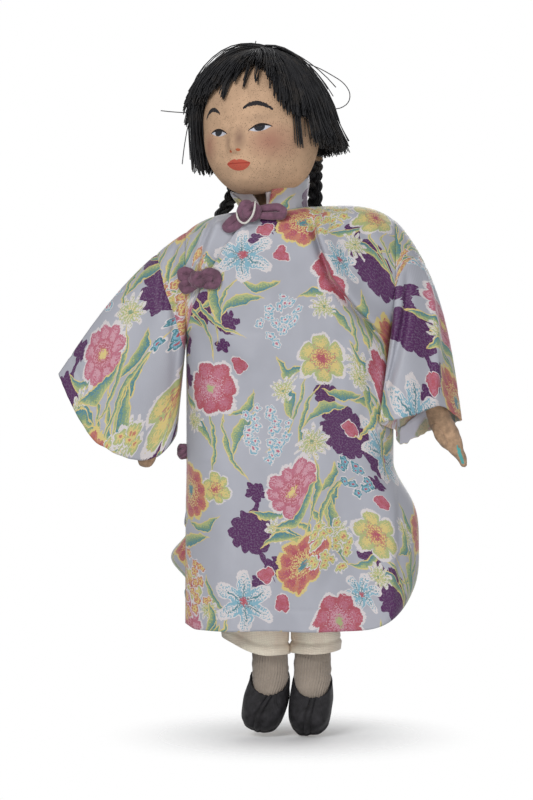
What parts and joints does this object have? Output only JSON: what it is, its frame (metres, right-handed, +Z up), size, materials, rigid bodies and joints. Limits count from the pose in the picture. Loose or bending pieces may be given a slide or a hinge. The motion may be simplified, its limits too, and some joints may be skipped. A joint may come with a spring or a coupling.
{
  "type": "cloth doll",
  "caption": "Stuffed cloth doll with a painted mask head, thread hair, side-fastened flowered gown with bell sleeves, trousers, stockings and slippers; head, arms and legs move.",
  "frame": {"origin": "middle of the waist, where a doll stand's clip holds the doll", "axes": "+Z up through the head, +X to the doll's left, -Y the way the doll's chest faces"},
  "size_m": [0.1775, 0.0652, 0.3017],
  "materials": {
    "body_cotton": "plain tan cotton, stuffed firm",
    "hand_cloth": "tan felted cloth",
    "painted_mask": "matt painted cloth over a moulded mask",
    "black_thread": "black mercerised thread",
    "tie_cord": "brown thread",
    "printed_rayon": "pale lavender satin with a flower print",
    "collar_lining": "off-white cotton",
    "mauve_cord": "mauve satin rouleau",
    "cream_cotton": "cream cotton",
    "white_knit": "fine ribbed knit",
    "black_cloth": "black cotton sateen",
    "sole_cloth": "stiffened tan cloth"
  },
  "bodies": {
    "torso": {"torso": "body_cotton", "neck": "body_cotton", "trouser_seat": "cream_cotton", "gown_front": "printed_rayon", "gown_underlap": "printed_rayon", "gown_back": "printed_rayon", "collar": "printed_rayon", "collar_lining": "collar_lining", "frog_cord_throat": "mauve_cord", "frog_knot_throat": "mauve_cord", "throat_thread": "collar_lining", "frog_cord_chest": "mauve_cord", "frog_knot_chest": "mauve_cord", "frog_knot_side": "mauve_cord"},
    "head": {"head": "painted_mask", "hair_crown": "black_thread", "hair_fringe": "black_thread", "hair_side_right": "black_thread", "hair_side_left": "black_thread", "hair_back": "black_thread", "braid_right": "black_thread", "braid_left": "black_thread", "braid_tie_right": "tie_cord", "braid_tie_left": "tie_cord"},
    "skirt_front": {"skirt_front": "printed_rayon"},
    "skirt_back": {"skirt_back": "printed_rayon"},
    "arm_right": {"arm_right": "body_cotton", "hand_right": "hand_cloth", "sleeve_right": "printed_rayon", "cuff_facing_right": "collar_lining"},
    "leg_right": {"leg_right": "body_cotton", "stocking_right": "white_knit", "shoe_upper_right": "black_cloth", "shoe_sole_right": "sole_cloth", "trouser_leg_right": "cream_cotton"},
    "arm_left": {"arm_left": "body_cotton", "hand_left": "hand_cloth", "sleeve_left": "printed_rayon", "cuff_facing_left": "collar_lining"},
    "leg_left": {"leg_left": "body_cotton", "stocking_left": "white_knit", "shoe_upper_left": "black_cloth", "shoe_sole_left": "sole_cloth", "trouser_leg_left": "cream_cotton"}
  },
  "joints": [
    {"name": "neck_turn", "type": "hinge", "parent": "torso", "child": "head", "pos_m": [-0.007, 0, 0.093], "axis": [0, 0, 1], "range_deg": [-12, 50], "deforming": ["braid_right", "braid_left", "collar", "collar_lining"]},
    {"name": "shoulder_swing_right", "type": "hinge", "parent": "torso", "child": "arm_right", "pos_m": [-0.042, 0, 0.078], "axis": [-1, 0, 0], "range_deg": [-35, 60]},
    {"name": "shoulder_swing_left", "type": "hinge", "parent": "torso", "child": "arm_left", "pos_m": [0.042, 0, 0.078], "axis": [-1, 0, 0], "range_deg": [-35, 60]},
    {"name": "hip_swing_left", "type": "hinge", "parent": "torso", "child": "leg_left", "pos_m": [0.0092, 0, -0.03], "axis": [-1, 0, 0], "range_deg": [0, 75]},
    {"name": "hip_swing_right", "type": "hinge", "parent": "torso", "child": "leg_right", "pos_m": [-0.0092, 0, -0.03], "axis": [-1, 0, 0], "range_deg": [0, 75]},
    {"name": "skirt_front_lift", "type": "hinge", "parent": "torso", "child": "skirt_front", "pos_m": [0, -0.0263, -0.013], "axis": [-1, 0, 0], "range_deg": [0, 82.5]},
    {"name": "skirt_back_lift", "type": "hinge", "parent": "torso", "child": "skirt_back", "pos_m": [0, 0.0263, -0.013], "axis": [1, 0, 0], "range_deg": [0, 45]}
  ],
  "couplings": [
    {"joint": "hip_swing_right", "follows": "hip_swing_left", "ratio": 1},
    {"joint": "skirt_front_lift", "follows": "hip_swing_left", "ratio": 1.1}
  ]
}
